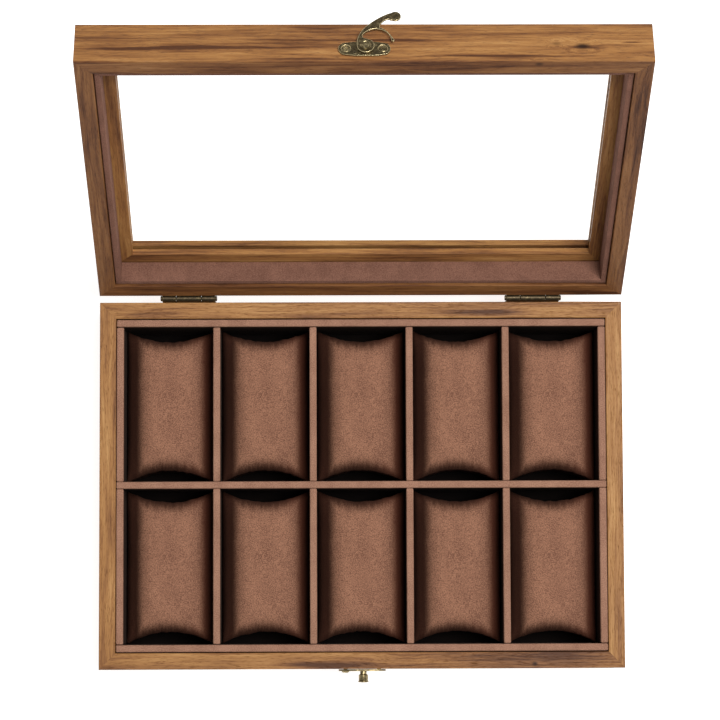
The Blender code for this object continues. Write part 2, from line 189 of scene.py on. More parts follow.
def walnut(name, seed, tone=0.0, knots=(), streaks=(), shaded_face=None, shaded_wall=0.0):
    """Oiled walnut with its grain along the board's X.

    A knot is (along, inward, height, radius, darkness). A streak is (along, inward, height, half length,
    half width). Lengths are in millimetres. The face at the height shaded_face and the start of the inner
    wall, which is shaded_wall inwards, are multiplied darker: painted shade.
    """
    wood = Finish(name, 0.5, specular_ior_level=0.14)
    shift = (seed * 7.3, seed * 3.1, seed * 5.7)
    along, inward, height = (wood.node("SeparateXYZ", None, {0: wood.place()}, i) for i in range(3))
    bend = wood.noise(wood.place((60, 9, 9), shift), 1.0, 1.0) * GRAIN_WANDER
    dark = None
    for x, y, z, radius, darkness in knots:
        off = (along - x) / (radius * 2.0)
        drop = (height - z) / radius
        depth = (inward - y) / (radius * 1.5)
        near = (off * off + drop * drop + depth * depth + 0.02) ** 0.5
        bend = bend + wood.between(near, 2.8, 0.2) * drop * 2.5
        core = wood.between(near, 1.3, 0.2) * darkness
        dark = core if dark is None else dark.maths("MAXIMUM", core)
    bent = wood.node("CombineXYZ", None, {0: 0.0, 1: bend, 2: bend})
    log_place = wood.place(shift=(seed * 91, 0, 0))
    grain = wood.node("VectorMath", {"operation": "ADD"}, {0: log_place, 1: bent})

    def drawn(size, detail, roughness):
        """Noise drawn out along the grain, in lumps of that length and width."""
        length, width = size
        scaled = {0: grain, 1: (1 / length, 1 / width, 1 / width)}
        lumps = wood.node("VectorMath", {"operation": "MULTIPLY"}, scaled)
        return wood.noise(lumps, 1.0, detail, roughness)

    bands = drawn(BAND_SIZE, 3.0, 0.55)
    lines = drawn(LINE_SIZE, 4.0, 0.62)
    fibres = drawn(FIBRE_SIZE, 2.0, 0.6)
    shade = bands * 0.66 + lines * 0.54 + fibres * 0.2 + (tone - 0.2)
    for x, y, z, length, width in streaks:
        off = (along - x) / length
        drop = (height - z + bend * 0.6 - 1.5) / width
        depth = (inward - y) / (width * 2)
        near = (off * off + drop * drop + depth * depth) ** 0.5
        shade = shade - wood.between(near, 1.1, 0.1) * 0.22
    stops = ((0.30, DARK_WOOD), (0.42, BROWN_WOOD), (0.54, MID_WOOD), (0.72, PALE_WOOD))
    colour = wood.ramp(shade, *stops)
    pores = wood.between(fibres, 0.42, 0.30)
    colour = wood.blend(pores * 0.6, colour, DARK_WOOD)
    if dark:
        colour = wood.blend(dark, colour, KNOT_WOOD)
    # Painted shade on the rim face and on the start of the inner wall.
    if shaded_face:
        rim_shade = wood.between(height, shaded_face + 0.9, shaded_face + 0.1)
        inner = wood.between(inward, shaded_wall - 0.9, shaded_wall - 0.1)
        rim_shade = rim_shade.maths("MAXIMUM", inner * wood.between(height, shaded_face + 4.5, shaded_face + 3.5))
        colour = wood.blend(rim_shade, colour, PAINTED_RIM_SHADE, "MULTIPLY")
    rough = 0.56 - lines * 0.2 + pores * 0.2
    relief = lines * 0.35 + fibres * 0.4 - pores * 0.5
    return wood.wear(colour, rough, relief, GRAIN_DEPTH)


def add_piece(name, shape, finish, body, node, matrix=None):
    """Turns a bmesh into a piece that rides on a body and stands for a CAD node."""
    bmesh.ops.recalc_face_normals(shape, faces=shape.faces)
    mesh = bpy.data.meshes.new(name)
    shape.to_mesh(mesh)
    shape.free()
    mesh.materials.append(finish)
    mesh.shade_smooth()
    mesh.set_sharp_from_angle(angle=SHARP)
    piece = bpy.data.objects.new(name, mesh)
    bpy.context.collection.objects.link(piece)
    if matrix:
        piece.matrix_world = matrix
    bpy.context.view_layer.update()
    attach(piece, body)
    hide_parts(node)
    return piece


def break_edges(piece, width, segments=3, rubbed=None):
    """Rounds the sharp edges. A rubbed finish, if given, covers the rounding."""
    bevel = piece.modifiers.new("broken edges", "BEVEL")
    bevel.width = width
    bevel.segments = segments
    bevel.limit_method = "WEIGHT" if "bevel_weight_edge" in piece.data.attributes else "ANGLE"
    bevel.angle_limit = SHARP
    if rubbed:
        piece.data.materials.append(rubbed)
        bevel.material = len(piece.data.materials) - 1


def mitred_board(length, profile):
    """A board along X whose profile of (distance inwards, height) is cut at 45 degrees at both ends.

    Only its long edges are marked for rounding: the mitres are glued tight and sanded flush.
    """
    shape = bmesh.new()
    weight = shape.edges.layers.float.new("bevel_weight_edge")
    rings = []
    for end in (-1, 1):
        ends = [(end * (length / 2 - inward - MITRE_LINE), inward, height) for inward, height in profile]
        rings.append([shape.verts.new(place) for place in ends])
        shape.faces.new(rings[-1])
    for i in range(len(profile)):
        j = (i + 1) % len(profile)
        shape.faces.new((rings[0][i], rings[0][j], rings[1][j], rings[1][i]))
        shape.edges.get((rings[0][i], rings[1][i]))[weight] = 1
    for edge in shape.edges:
        if edge.verts[0].co.x * edge.verts[1].co.x < 0:
            edge[weight] = 1
    return shape


base_tones = {"front": 0.0, "back": 0.0, "left": 0.02, "right": 0.07}
base_streaks = {"front": [(95, 8, 58, 75, 4.5), (-20, 2, 58, 35, 1.2)], "back": [(-70, 6, 58, 40, 1.4)]}
base_knots = {"front": [(95, 2.5, 58, 0.9, 0.9)]}
base_profile = [(0, 0), (BASE_WALL, 0), (BASE_WALL, BASE_HEIGHT), (0, BASE_HEIGHT)]
for number, (side, (length, where)) in enumerate(SIDES.items(), 1):
    knots = base_knots.get(side, ())
    streaks = base_streaks.get(side, ())
    wood = walnut(f"walnut, base {side}", number, base_tones[side], knots, streaks)
    shape = mitred_board(length, base_profile)
    board = add_piece(f"base_{side}_board", shape, wood, "base", f"base_{side}_wall", where)
    break_edges(board, BROKEN_EDGE)

# Floor. A plywood panel closes the bottom, and a card covered in suede cloth lies on it. Its cloth is
# coloured
# near black: painted shade at the bottom of the cells.
# The cloth is a short-napped microfibre: matt, softly mottled, with single fibres catching the light.
NAP_DEPTH = 0.0004


def suede(name, light, dark, nap=0.5, mottle=0.35, sheen=0.25, spread=0.10):
    """A short-napped cloth between two colours, its nap brushed this way and that."""
    cloth = Finish(name, 0.92, sheen_weight=sheen, sheen_roughness=0.45, specular_ior_level=0.2)
    cloth.shader.inputs["Sheen Tint"].default_value = (*light, 1)
    brushed = cloth.noise(cloth.place((1.0, 1.6, 1.0)), 0.09, 3.0, 0.55)
    grain = cloth.noise(cloth.place(), 1.9, 3.0, 0.7)
    fibre = cloth.noise(cloth.place((1.0, 2.2, 1.0)), 5.5, 2.0, 0.6)
    shade = brushed * mottle + grain * nap + fibre * (1 - nap) * 0.6
    middle = (mottle + nap + (1 - nap) * 0.6) / 2
    colour = cloth.ramp(shade, (middle - spread, dark), (middle + spread, light))
    return cloth, colour, grain * 0.6 + fibre * 0.5


plywood = Finish("birch plywood", 0.62)
layers = plywood.noise(plywood.place((40, 3, 3)), 0.6, 4.0, 0.6)
birch = plywood.ramp(layers, (0.3, srgb(150, 112, 70)), (0.7, srgb(196, 160, 112)))
plywood.wear(birch, None, layers, 0.0001)
# Painted shade: the floor cloth is near black, standing in for the shade at the bottom of the cells.
cloth, colour, nap = suede("suede floor in painted shade", srgb(20, 11, 8), srgb(12, 6, 4), sheen=0.0)
shaded_floor_cloth = cloth.wear(colour, None, nap, NAP_DEPTH)
for node, finish in (("floor_panel", plywood.material), ("floor_lining", shaded_floor_cloth)):
    frame["nodes"][node].data.materials.clear()
    frame["nodes"][node].data.materials.append(finish)

# Tray linings and dividers. Thin boards wrapped in the same cloth stand round the walls and between the
# cells, their top edges rounded by the wrapping. The long divider runs through, let in between the halves of
# the side linings, and the cross ones stop at it. Down the walls of the cells the cloth is painted darker
# with depth: painted shade.
WRAP_ROUND = 0.0007
JOINT_LINE = 0.0001

cloth, colour, nap = suede("brown suede tray", srgb(182, 138, 114), srgb(128, 90, 72), nap=0.65, mottle=0.2,
                           sheen=0.05)
tray_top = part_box("tray_front_liner")[1].z * 1000
# Painted shade: below its top edge the cloth on the cell walls darkens with depth.
height = cloth.node("SeparateXYZ", None, {0: cloth.place()}, 2)
wall = cloth.between(height, tray_top - 0.7, tray_top - 2.2)
deep_shade = cloth.between(height, tray_top - 2.0, tray_top - 10.0)
wall_shade_colour = cloth.blend(deep_shade, srgb(62, 40, 31), srgb(22, 13, 9))
tray_cloth = cloth.wear(cloth.blend(wall, colour, wall_shade_colour), None, nap, NAP_DEPTH)


def rounded_boards(name, boxes, finish, body, node, matrix=None, radius=WRAP_ROUND):
    """Boards with rounded edges, given by their (low, high) corners, as one piece."""
    shape = bmesh.new()
    for low, high in boxes:
        low, high = Vector(low), Vector(high)
        size = Matrix.Diagonal((*(high - low), 1))
        bmesh.ops.create_cube(shape, size=1, matrix=Matrix.Translation((low + high) / 2) @ size)
    piece = add_piece(name, shape, finish, body, node, matrix)
    break_edges(piece, radius)
    return piece


def wrap_tray_board(name, node, crossed):
    """Wraps a board of the tray. One that the long divider crosses is in two lengths, one on either side."""
    low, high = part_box(node)
    divider_low, divider_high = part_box("long_divider")
    lengths = [(low, high)]
    if crossed:
        front_half = (low, (high.x, divider_low.y - JOINT_LINE, high.z))
        back_half = ((low.x, divider_high.y + JOINT_LINE, low.z), high)
        lengths = [front_half, back_half]
    wrapped = rounded_boards(name, lengths, tray_cloth, "base", node)


for side, crossed in (("front", False), ("back", False), ("left", True), ("right", True)):
    wrap_tray_board(f"wrapped_{side}_lining", f"tray_{side}_liner", crossed)
wrap_tray_board("wrapped_long_divider", "long_divider", False)
for number in range(1, 5):
    wrap_tray_board(f"wrapped_cross_divider_{number}", f"cross_divider_{number}", True)

# Pillows. Ten stuffed velvet pillows, one to a cell: a band of cloth pulled round the filling and gathered
# at both ends on a seam that curves in. The stuffing presses the sides against the cell. The sides, and the
# ends where they roll over, are painted darker: painted shade. It is less dark on the right side, to lighten
# the shadow that the divider casts there: painted light.
PILLOW_SHRINK = 0.0012
PILLOW_VOXEL = 0.0026
PILLOW_SWELL = 0.0030
PILLOW_PRESSURE = 4.0
END_DIP = 0.0066
GATHER_DEPTH = 0.00050
GATHER_REACH = 0.0105
EARS = 0.10
ROLLED = 0.0026
ROLL_REACH = 0.0065
ROLL_HEIGHT = 0.010
PRESSED = (1.01, 1.01, 1)
GATHERS = (330, 30)
FINE_GATHERS = (760, 45)
LUMPS = (70, 55)
LUMP_HEIGHT = 0.0003

low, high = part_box("pillow_back_1")
half_pillow = (high - low) / 2
half_width, half_length, dip = (1000 * size for size in (half_pillow.x, half_pillow.y, END_DIP))
cloth, colour, nap = suede("brown velvet", srgb(172, 124, 98), srgb(112, 76, 61), nap=0.7, mottle=0.14,
                           sheen=0.0, spread=0.07)
cloth.shader.inputs["Specular IOR Level"].default_value = 0.1
across = cloth.node("SeparateXYZ", None, {0: cloth.place()}, 0)
along = cloth.node("SeparateXYZ", None, {0: cloth.place()}, 1).maths("ABSOLUTE")
seam = (across * across) * (dip / half_width**2) + (half_length - dip)
# Painted shade on the sides and the rolled ends, less dark on the right side: painted light there.
streaks = cloth.noise(cloth.place((1.1, 9, 9)), 1.0, 3.0, 0.6)
off_middle = (across - 0.8).maths("ABSOLUTE") + (streaks - 0.5) * 2.0
side_shade = cloth.between(off_middle, half_width * 0.58, half_width * 0.82)
end_shade = cloth.between(seam - along + (streaks - 0.5) * 5.0, 7.5, 0.6) * 0.92
painted_shade = side_shade.maths("MAXIMUM", end_shade)
shade_colour = cloth.blend(cloth.between(across, 0, half_width), srgb(46, 20, 12), srgb(84, 43, 30))
velvet = cloth.wear(cloth.blend(painted_shade * 0.93, colour, shade_colour), None, nap, NAP_DEPTH)


def pillow_blank(half, cuts=15):
    """The pillow before it is stuffed, round its own centre."""
    shape = bmesh.new()
    bmesh.ops.create_cube(shape, size=2)
    bmesh.ops.subdivide_edges(shape, edges=shape.edges, cuts=cuts, use_grid_fill=True)
    for vert in shape.verts:
        a, b, c = vert.co
        across = a * math.sqrt(1 - 0.42 * c**4)
        up = c * math.sqrt(1 - 0.58 * a**4) * (1 - 0.26 * b**6)
        along = b * (half.y - END_DIP * (1 - across * across)) * (1 - 0.06 * c**6)
        vert.co = (across * half.x, along, up * half.z)
    return shape


def stuffed(blank):
    """Stuffs the blank by cloth simulation and returns the mesh."""
    shape = bpy.data.meshes.new("stuffed pillow")
    blank.to_mesh(shape)
    blank.free()
    pillow = bpy.data.objects.new("stuffed pillow", shape)
    bpy.context.collection.objects.link(pillow)
    remesh = pillow.modifiers.new("even faces", "REMESH")
    remesh.mode = "VOXEL"
    remesh.voxel_size = PILLOW_VOXEL
    scene = bpy.context.scene
    graph = bpy.context.evaluated_depsgraph_get()
    even = bpy.data.meshes.new_from_object(pillow.evaluated_get(graph))
    pillow.modifiers.clear()
    pillow.data = even
    start = [vert.co.copy() for vert in even.vertices]
    cloth = pillow.modifiers.new("stuffing", "CLOTH")
    cloth.settings.use_pressure = True
    cloth.settings.uniform_pressure_force = PILLOW_PRESSURE
    cloth.settings.effector_weights.gravity = 0
    cloth.settings.mass = 0.15
    cloth.settings.tension_stiffness = 30
    cloth.settings.compression_stiffness = 30
    cloth.settings.bending_stiffness = 0.8
    for step in range(1, 21):
        scene.frame_set(step)
    graph = bpy.context.evaluated_depsgraph_get()
    swollen = [vert.co.copy() for vert in pillow.evaluated_get(graph).data.vertices]
    pillow.modifiers.clear()
    scene.frame_set(1)
    for vert, old, new in zip(even.vertices, start, swollen):
        move = new - old
        if move.length > PILLOW_SWELL:
            move *= PILLOW_SWELL / move.length
        vert.co = old + move
    fine = pillow.modifiers.new("finer", "SUBSURF")
    fine.levels = 1
    graph = bpy.context.evaluated_depsgraph_get()
    mesh = bpy.data.meshes.new_from_object(pillow.evaluated_get(graph))
    bpy.data.objects.remove(pillow)
    return mesh


def gathered(mesh, half, seed):
    """Presses the stuffed pillow into its cell and puts gathers along its end seams."""
    reach = [max(abs(vert.co[i]) for vert in mesh.vertices) for i in range(3)]
    fit = [half[i] / reach[i] * PRESSED[i] for i in range(3)]
    normals = [Vector(normal.vector) for normal in mesh.vertex_normals]
    for vert, outward in zip(mesh.vertices, normals):
        x, y, z = (vert.co[i] * fit[i] for i in range(3))
        x *= 1 + 0.6 * EARS * (y / half.y) ** 6
        y *= 1 + EARS * (x / half.x) ** 4
        x = max(-half.x, min(half.x, x))
        z = max(-half.z, min(half.z, z))
        end = half.y - END_DIP * (1 - (x / half.x) ** 2)
        y = max(-end, min(end, y))
        near = max(0.0, 1 - (end - abs(y)) / GATHER_REACH)
        roll = max(0.0, 1 - (end - abs(y)) / ROLL_REACH) ** 3
        z -= ROLLED * roll * max(-1, min(1, z / ROLL_HEIGHT))
        end_seed = seed + 11 if y < 0 else seed
        wave = noise.noise(Vector((x * GATHERS[0], end_seed * 3.7, y * GATHERS[1])))
        wave += 0.6 * noise.noise(Vector((x * FINE_GATHERS[0], end_seed * 1.9, y * FINE_GATHERS[1])))
        lump = noise.noise(Vector((x * LUMPS[0], y * LUMPS[1], seed * 2.3)))
        vert.co = Vector((x, y, z)) + outward * (GATHER_DEPTH * wave * near**1.5 + LUMP_HEIGHT * lump)
        vert.co.x = max(-half.x, min(half.x, vert.co.x))
    return mesh


stuffed_mesh = stuffed(pillow_blank(half_pillow - Vector((PILLOW_SHRINK,) * 3)))
pillows = [node for node in frame["nodes"] if node.startswith("pillow_")]
for number, node in enumerate(pillows, 1):
    low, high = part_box(node)
    mesh = gathered(stuffed_mesh.copy(), half_pillow, number)
    mesh.materials.clear()
    mesh.materials.append(velvet)
    mesh.shade_smooth()
    pillow = bpy.data.objects.new(f"velvet_{node}", mesh)
    bpy.context.collection.objects.link(pillow)
    pillow.location = (low + high) / 2
    bpy.context.view_layer.update()
    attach(pillow, node)
    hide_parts(node)

# Lid frame. Four walnut rails, mitred like the base, carry an inward flange that frames the window. The lid
# is made shut and then turned open on its hinge axis. The rim faces and the start of the inner walls are
# painted darker: painted shade.
LINER_GAP = 0.0003
GROOVE_DEPTH = 0.0055
PANE_SLACK = 0.0001

hinge = next(joint for joint in frame["joints"] if joint["name"] == "lid_hinge")
hinge_axis = Vector(hinge["pos_m"])
LID_OPEN = math.radians(-hinge["range_deg"][0])
swing = Matrix.Rotation(-LID_OPEN, 4, "X")
opened = Matrix.Translation(hinge_axis) @ swing @ Matrix.Translation(-hinge_axis)


def shut_box(node):
    """The corners of a lid node's box with the lid shut."""
    shut = opened.inverted()
    points = [shut @ vert.co for vert in frame["nodes"][node].data.vertices]
    low = Vector([min(p[i] for p in points) for i in range(3)])
    return low, Vector([max(p[i] for p in points) for i in range(3)])


rail_low, rail_high = shut_box("lid_front_rail")
strip_low, strip_high = shut_box("lid_front_liner")
pane_low, pane_high = shut_box("glass_pane")
LID_RIM = rail_low.z
LID_TOP = rail_high.z
WINDOW_INSET = rail_high.y - rail_low.y
LID_WALL = strip_low.y - rail_low.y - LINER_GAP
LEDGE = strip_high.z + LINER_GAP
GROOVE_END = WINDOW_INSET - GROOVE_DEPTH
GROOVE_LOW = pane_low.z - PANE_SLACK
GROOVE_HIGH = pane_high.z + PANE_SLACK

rail_profile = [(0, LID_RIM), (LID_WALL, LID_RIM), (LID_WALL, LEDGE), (WINDOW_INSET, LEDGE)]
rail_profile += [(WINDOW_INSET, GROOVE_LOW), (GROOVE_END, GROOVE_LOW)]
rail_profile += [(GROOVE_END, GROOVE_HIGH), (WINDOW_INSET, GROOVE_HIGH)]
rail_profile += [(WINDOW_INSET, LID_TOP), (0, LID_TOP)]
rim = LID_RIM * 1000
lid_tones = {"front": -0.02, "back": -0.035, "left": -0.01, "right": -0.02}
front_knots = [(109, 0, rim + 9.9, 2.2, 0.95), (96, 0, rim + 11.7, 1.3, 0.45), (87, 2, rim, 1.2, 0.6)]
front_streaks = [(-95, 0, rim + 9, 75, 1.5), (-10, 0, rim + 14, 70, 1.1), (111, 0, rim + 9, 12, 1.8)]
front_streaks += [(75, 0, rim + 4, 60, 1.0), (134, 0, rim + 12.5, 7, 0.7)]
for number, (side, (length, where)) in enumerate(SIDES.items(), 5):
    knots = front_knots if side == "front" else ()
    streaks = front_streaks if side == "front" else ()
    wood = walnut(f"walnut, lid {side}", number, lid_tones[side], knots, streaks, rim, LID_WALL * 1000)
    shape = mitred_board(length, rail_profile)
    rail = add_piece(f"lid_{side}_board", shape, wood, "lid", f"lid_{side}_rail", opened @ where)
    break_edges(rail, BROKEN_EDGE)

# Lid linings. Four strips of card, wrapped in the same suede cloth, are glued inside the lid's walls. They
# are mitred at the corners and stop just below the window's ledge. The cloth here is coloured darker than in
# the tray: painted shade inside the lid.
STRIP_ROUND = 0.0005
STRIP_SLACK = 0.0003

# Painted shade: the lid's copy of the cloth is coloured darker than the tray's.
cloth, colour, nap = suede("brown suede lining", srgb(146, 104, 86), srgb(104, 70, 57), nap=0.65, mottle=0.2,
                           sheen=0.1)
lining = cloth.wear(colour, None, nap, NAP_DEPTH)
strip_out = strip_low.y - rail_low.y
strip_in = strip_high.y - rail_low.y
strip_top = strip_high.z - STRIP_SLACK
strip = [(strip_out, strip_low.z), (strip_in, strip_low.z), (strip_in, strip_top), (strip_out, strip_top)]
for side, (length, where) in SIDES.items():
    shape = mitred_board(length, strip)
    name = f"lid_{side}_wrapped_strip"
    wrapped = add_piece(name, shape, lining, "lid", f"lid_{side}_liner", opened @ where)
    break_edges(wrapped, STRIP_ROUND)

# Window. One pane of clear float glass lies in the rails' groove. Its faces are drawn with only a trace of
# the mirror that real glass has.
GLASS_EDGE = 0.0002
GLASS_MIRROR = 0.006

glass = Finish("clear float glass", 0.02)
mirror = glass.node("BsdfGlossy", None, {"Color": (1, 1, 1, 1), "Roughness": 0.02})
through = glass.node("BsdfTransparent", None, {"Color": (0.985, 0.995, 0.99, 1)})
facing = glass.node("Fresnel", None, {"IOR": 1.45})
both = glass.node("MixShader", None, {0: facing * GLASS_MIRROR, 1: through, 2: mirror})
output = next(node for node in glass.tree.nodes if node.type == "OUTPUT_MATERIAL")
glass.tree.links.new(both.link, output.inputs["Surface"])
pane_box = [(pane_low, pane_high)]
pane = rounded_boards("window_pane", pane_box, glass.material, "lid", "glass_pane", opened, GLASS_EDGE)

# Hinges. Two small brass hinges are screwed to the outside of the back walls. The brass is darkened in a
# bath and then rubbed, so flats and hollows stay dark olive brown and edges shine.
DARK_BRASS = srgb(66, 56, 40)
OLIVE_BRASS = srgb(112, 98, 68)
RUBBED_BRASS = srgb(226, 206, 156)


def antique(name, rub, metal=0.85):
    """Darkened brass; rub from 0 to 1 says how much of the bright metal shows."""
    brass = Finish(name, 0.38, metal)
    cloud = brass.noise(brass.place(), 0.55, 4.0, 0.65)
    scratch = brass.noise(brass.place((0.5, 3.0, 1.2)), 3.0, 3.0, 0.7)
    shade = cloud * 0.7 + scratch * 0.3 + (rub - 0.5) * 0.5
    colour = brass.ramp(shade, (0.30, DARK_BRASS), (0.48, OLIVE_BRASS), (0.70, RUBBED_BRASS))
    return brass.wear(colour, 0.50 - shade * 0.30, cloud * 0.5 + scratch * 0.3, 0.00008)


hinge_brass = antique("antique brass hinge", 0.05)
flat_brass = antique("antique brass", 0.40)
edge_brass = antique("rubbed brass edge", 1.15, 0.5)
head_brass = antique("antique brass head", 0.55)
METAL_ROUND = 0.00025
BACK_FACE = DEPTH / 2
BARREL = 0.0019
BARREL_HOLE = 0.0009
LEAF_FOOT = 0.0003
LEAF_TOP = 0.0012
LEAF_REACH = 0.0140
LEAF_SCREWS = (-0.0095, 0.0095)
LEAF_SCREW_UP = 0.0085
SHANK_HOLE = 0.0011
HEAD_RIM = 0.0002


def spot(axis, a, b, along):
    """A point from two coordinates across an axis, in X, Y, Z order, and one along it."""
    if axis == "X":
        return (along, a, b)
    if axis == "Y":
        return (a, along, b)
    return (a, b, along)


def prism(outline, axis, low, high):
    """An outline extruded along an axis."""
    shape = bmesh.new()
    near = [shape.verts.new(spot(axis, a, b, low)) for a, b in outline]
    far = [shape.verts.new(spot(axis, a, b, high)) for a, b in outline]
    shape.faces.new(near)
    shape.faces.new(far)
    for i in range(len(outline)):
        j = (i + 1) % len(outline)
        shape.faces.new((near[i], near[j], far[j], far[i]))
    return shape


def turned(profile, axis, centre, closed=False, segments=40, shape=None):
    """A profile of (radius, distance along the axis) turned round the axis. A closed one makes a tube."""
    shape = shape or bmesh.new()
    rows = []
    for radius, along in profile:
        count = segments if radius > 0 else 1
        angles = [2 * math.pi * i / count for i in range(count)]
        ring = [(centre[0] + radius * math.cos(t), centre[1] + radius * math.sin(t)) for t in angles]
        rows.append([shape.verts.new(spot(axis, a, b, along)) for a, b in ring])
    pairs = list(zip(rows, rows[1:]))
    if closed:
        pairs.append((rows[-1], rows[0]))
    for one, two in pairs:
        for i in range(segments):
            j = (i + 1) % segments
            corners = [one[i % len(one)], one[j % len(one)], two[j % len(two)], two[i % len(two)]]
            shape.faces.new(list(dict.fromkeys(corners)))
    return shape


def drilled(shape, cutters):
    """The shape with the cutters taken out of it."""
    graph = bpy.context.evaluated_depsgraph_get()
    for cutter in cutters:
        made = []
        for part in (shape, cutter):
            bmesh.ops.recalc_face_normals(part, faces=part.faces)
            mesh = bpy.data.meshes.new("drilling")
            part.to_mesh(mesh)
            part.free()
            made.append(bpy.data.objects.new("drilling", mesh))
            bpy.context.collection.objects.link(made[-1])
        cut = made[0].modifiers.new("cut", "BOOLEAN")
        cut.solver = "EXACT"
        cut.object = made[1]
        graph.update()
        shape = bmesh.new()
        shape.from_mesh(made[0].evaluated_get(graph).data)
        for thing in made:
            bpy.data.objects.remove(thing)
    return shape


def countersink(x, z, face, outward, top, radius):
    """The cutter for a screw's hole, with its rim opened out."""
    profile = [(0, -0.0005), (SHANK_HOLE, -0.0005), (SHANK_HOLE, top - 0.0007)]
    placed = [*profile, (radius, top - 0.00035), (radius, top + 0.0010), (0, top + 0.0010)]
    return turned([(r, face + outward * along) for r, along in placed], "Y", (x, z), segments=32)


def screw_head(x, z, face, outward, foot, brow, radius, turn):
    """A cross-recessed wood-screw head. Foot and brow are its distances out from a face square to Y."""
    profile = [(0.0010, foot - 0.0030), (0.0010, foot), (radius * 0.97, foot), (radius, foot + HEAD_RIM)]
    rows = 14
    for i in range(rows + 1):
        share = 1 - i / rows
        rise = (brow - foot - HEAD_RIM) * math.sqrt(1 - 0.8 * share**2) * (1 - share**8 * 0.5)
        profile.append((radius * 0.985 * share, foot + HEAD_RIM + max(rise, 0.00005)))
    placed = [(r, face + outward * along) for r, along in profile]
    shape = turned(placed, "Y", (x, z), segments=56)
    arm, width, depth = radius * 0.62, radius * 0.17, (brow - foot) * 0.85
    for vert in shape.verts:
        out = (vert.co.y - face) * outward
        a, b = vert.co.x - x, vert.co.z - z
        u = abs(a * math.cos(turn) + b * math.sin(turn))
        v = abs(b * math.cos(turn) - a * math.sin(turn))
        in_arm = max(arm - max(u, v), 0) / (radius * 0.15)
        in_slot = max(width * 1.25 - min(u, v), 0) / (width * 0.5)
        if out > foot + HEAD_RIM:
            vert.co.y -= outward * depth * min(1, in_arm, in_slot)
    return shape


def add_metal(name, shape, finish, body, node, matrix=None, edge=METAL_ROUND, rubbed=edge_brass):
    """A brass piece, its edges rounded and rubbed where an edge radius is given."""
    piece = add_piece(name, shape, finish, body, node, matrix)
    if edge:
        break_edges(piece, edge, 2, rubbed)
    return piece


for side in ("left", "right"):
    pin_low, pin_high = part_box(f"{side}_hinge_pin")
    x = (pin_low.x + pin_high.x) / 2
    half_barrel = (pin_high.x - pin_low.x) / 2 - 0.0011
    centre_half = half_barrel * 0.47
    split = centre_half + 0.0002
    near = BARREL * 0.4
    clear = BARREL + 0.0002
    edge = [(half_barrel - 0.0003, clear), (half_barrel + 0.0005, LEAF_REACH - 0.0020)]
    edge += [(half_barrel - 0.0015, LEAF_REACH)]
    base_edge = [(split, clear), (split, near), (half_barrel - 0.0003, near), *edge[1:]]
    lid_edge = [(centre_half - 0.0001, near), (centre_half - 0.0001, clear), *edge]
    outer = [(-half_barrel, -split), (split, half_barrel)]
    middle = [(-centre_half, centre_half)]
    leaves = (("base", -1, base_edge, outer, None), ("lid", 1, lid_edge, middle, opened))
    for body, up, right, spans, matrix in leaves:
        outline = [(x + a, hinge_axis.z + up * t) for a, t in right]
        outline += [(x - a, hinge_axis.z + up * t) for a, t in reversed(right)]
        leaf = prism(outline, "Y", BACK_FACE + LEAF_FOOT, BACK_FACE + LEAF_TOP)
        for low, high in spans:
            knuckle = [(BARREL_HOLE, x + low), (BARREL, x + low)]
            knuckle += [(BARREL, x + high), (BARREL_HOLE, x + high)]
            turned(knuckle, "X", (hinge_axis.y, hinge_axis.z), True, shape=leaf)
        add_metal(f"{side}_{body}_hinge_leaf", leaf, hinge_brass, body, f"{side}_hinge_{body}_leaf", matrix,
                  rubbed=flat_brass)
        for number, offset in enumerate(LEAF_SCREWS, 1):
            z = hinge_axis.z + up * LEAF_SCREW_UP
            head = screw_head(x + offset, z, BACK_FACE, 1, LEAF_TOP, 0.0024, 0.0020, 0.5 * number + up)
            node = f"{side}_hinge_{body}_screw_{number}"
            add_metal(f"{side}_{body}_hinge_screw_{number}", head, head_brass, body, node, matrix, None)
    cap = half_barrel + 0.0001
    end = half_barrel + 0.0010
    pin = [(0, -end), (BARREL * 0.55, -end), (BARREL * 0.8, -end + 0.0003)]
    pin += [(BARREL * 0.8, -cap), (0.0008, -cap)]
    pin += [(r, -along) for r, along in reversed(pin)]
    placed = [(r, x + along) for r, along in pin]
    shape = turned(placed, "X", (hinge_axis.y, hinge_axis.z))
    add_metal(f"{side}_hinge_turned_pin", shape, hinge_brass, "base", f"{side}_hinge_pin", edge=None)

# Swing hook. A lobed plate is screwed to the lid's front, and the hook turns on a rivet through it. The
# hook is a curved claw with a thumb tab, stamped from sheet, its edges rubbed bright and its flats dark.
FRONT_FACE = -DEPTH / 2
hook_joint = next(joint for joint in frame["joints"] if joint["name"] == "hook_swing")
pivot = opened.inverted() @ Vector(hook_joint["pos_m"])
HOOK_THICK = 0.0010
HOOK_EDGE = 0.0003
HOOK_HOLE = 0.0014
PLATE_LOBE = 0.0039
PLATE_SCREWS = (-0.0092, 0.0092)
HOLE_RIM = 0.0024


def arc(centre, radius, start, end, steps):
    """Points along an arc, angles in degrees."""
    points = []
    for i in range(steps + 1):
        angle = math.radians(start + (end - start) * i / steps)
        points.append((centre[0] + radius * math.cos(angle), centre[1] + radius * math.sin(angle)))
    return points


def smooth_run(points, steps=6):
    """A Catmull-Rom curve through the points."""
    run = []
    ends = [points[0], *points, points[-1]]
    for i in range(1, len(ends) - 2):
        p0, p1, p2, p3 = (Vector(p) for p in ends[i - 1 : i + 3])
        for k in range(steps):
            t = k / steps
            bend = (p1 * 2 + (p2 - p0) * t + (p0 * 2 - p1 * 5 + p2 * 4 - p3) * t**2) / 2
            run.append(tuple(bend + (p1 * 3 - p0 - p2 * 3 + p3) * t**3 / 2))
    return [*run, points[-1]]


